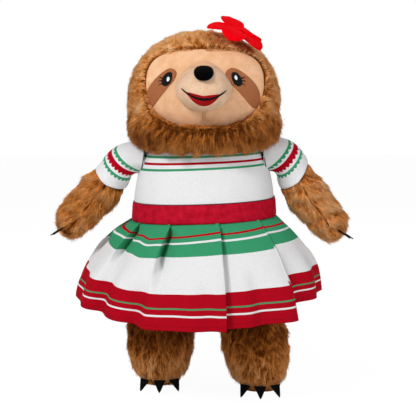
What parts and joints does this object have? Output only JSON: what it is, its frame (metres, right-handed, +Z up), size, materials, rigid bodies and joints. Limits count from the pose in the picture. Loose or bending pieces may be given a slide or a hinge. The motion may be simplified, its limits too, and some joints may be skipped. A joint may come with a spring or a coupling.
{
  "type": "stuffed sloth toy",
  "caption": "Standing plush sloth with a felt flower on its head, in a short-sleeved dress with a flared pleated skirt; its head, arms and legs turn at their seams.",
  "frame": {"origin": "on the floor, under the middle of the toy's bounding box", "axes": "+Z up; the toy faces -Y; its own left side is at +X"},
  "size_m": [0.3206, 0.2318, 0.3929],
  "materials": {
    "brown_long_pile_plush": "long-pile plush",
    "peach_short_pile_plush": "short-pile plush",
    "cream_short_pile_plush": "short-pile plush",
    "black_short_pile_plush": "short-pile plush",
    "white_knit_cloth": "knit cloth with printed stripes",
    "crimson_knit_cloth": "knit cloth",
    "striped_skirt_cloth": "printed cloth",
    "red_felt": "felt",
    "black_felt": "felt",
    "brown_embroidery": "satin stitch",
    "black_embroidery": "satin stitch",
    "white_embroidery": "satin stitch",
    "red_embroidery": "satin stitch"
  },
  "bodies": {
    "torso": {"torso_plush": "brown_long_pile_plush", "bodice": "white_knit_cloth", "belt_band": "crimson_knit_cloth", "skirt": "striped_skirt_cloth", "back_placket": "white_knit_cloth"},
    "head": {"head_plush": "brown_long_pile_plush", "face_panel": "peach_short_pile_plush", "muzzle": "cream_short_pile_plush", "nose": "black_short_pile_plush", "eye_patch_left": "brown_embroidery", "eye_patch_right": "brown_embroidery", "eye_left": "black_embroidery", "eye_right": "black_embroidery", "eye_glint_left": "white_embroidery", "eye_glint_right": "white_embroidery", "smile_line": "black_embroidery", "lip_upper": "red_embroidery", "lip_lower": "red_embroidery", "flower_petal_1": "red_felt", "flower_petal_2": "red_felt", "flower_petal_3": "red_felt", "flower_petal_4": "red_felt", "flower_petal_5": "red_felt", "flower_centre": "red_felt"},
    "arm_left": {"arm_plush_left": "brown_long_pile_plush", "sleeve_left": "white_knit_cloth", "hand_claw_left_1": "black_felt", "hand_claw_left_2": "black_felt", "hand_claw_left_3": "black_felt"},
    "arm_right": {"arm_plush_right": "brown_long_pile_plush", "sleeve_right": "white_knit_cloth", "hand_claw_right_1": "black_felt", "hand_claw_right_2": "black_felt", "hand_claw_right_3": "black_felt"},
    "leg_left": {"leg_plush_left": "brown_long_pile_plush", "foot_claw_left_1": "black_felt", "foot_claw_left_2": "black_felt", "foot_claw_left_3": "black_felt"},
    "leg_right": {"leg_plush_right": "brown_long_pile_plush", "foot_claw_right_1": "black_felt", "foot_claw_right_2": "black_felt", "foot_claw_right_3": "black_felt"}
  },
  "joints": [
    {"name": "neck_turn", "type": "hinge", "parent": "torso", "child": "head", "pos_m": [0, 0, 0.2577], "axis": [0, 0, 1], "range_deg": [-20, 20]},
    {"name": "shoulder_left", "type": "hinge", "parent": "torso", "child": "arm_left", "pos_m": [0.0615, 0, 0.2425], "axis": [-1, 0, 0], "range_deg": [-60, 100]},
    {"name": "shoulder_right", "type": "hinge", "parent": "torso", "child": "arm_right", "pos_m": [-0.0615, 0, 0.2425], "axis": [-1, 0, 0], "range_deg": [-60, 100]},
    {"name": "hip_left", "type": "hinge", "parent": "torso", "child": "leg_left", "pos_m": [0.047, 0, 0.118], "axis": [-1, 0, 0], "range_deg": [-20, 45]},
    {"name": "hip_right", "type": "hinge", "parent": "torso", "child": "leg_right", "pos_m": [-0.047, 0, 0.118], "axis": [-1, 0, 0], "range_deg": [-20, 45]}
  ]
}
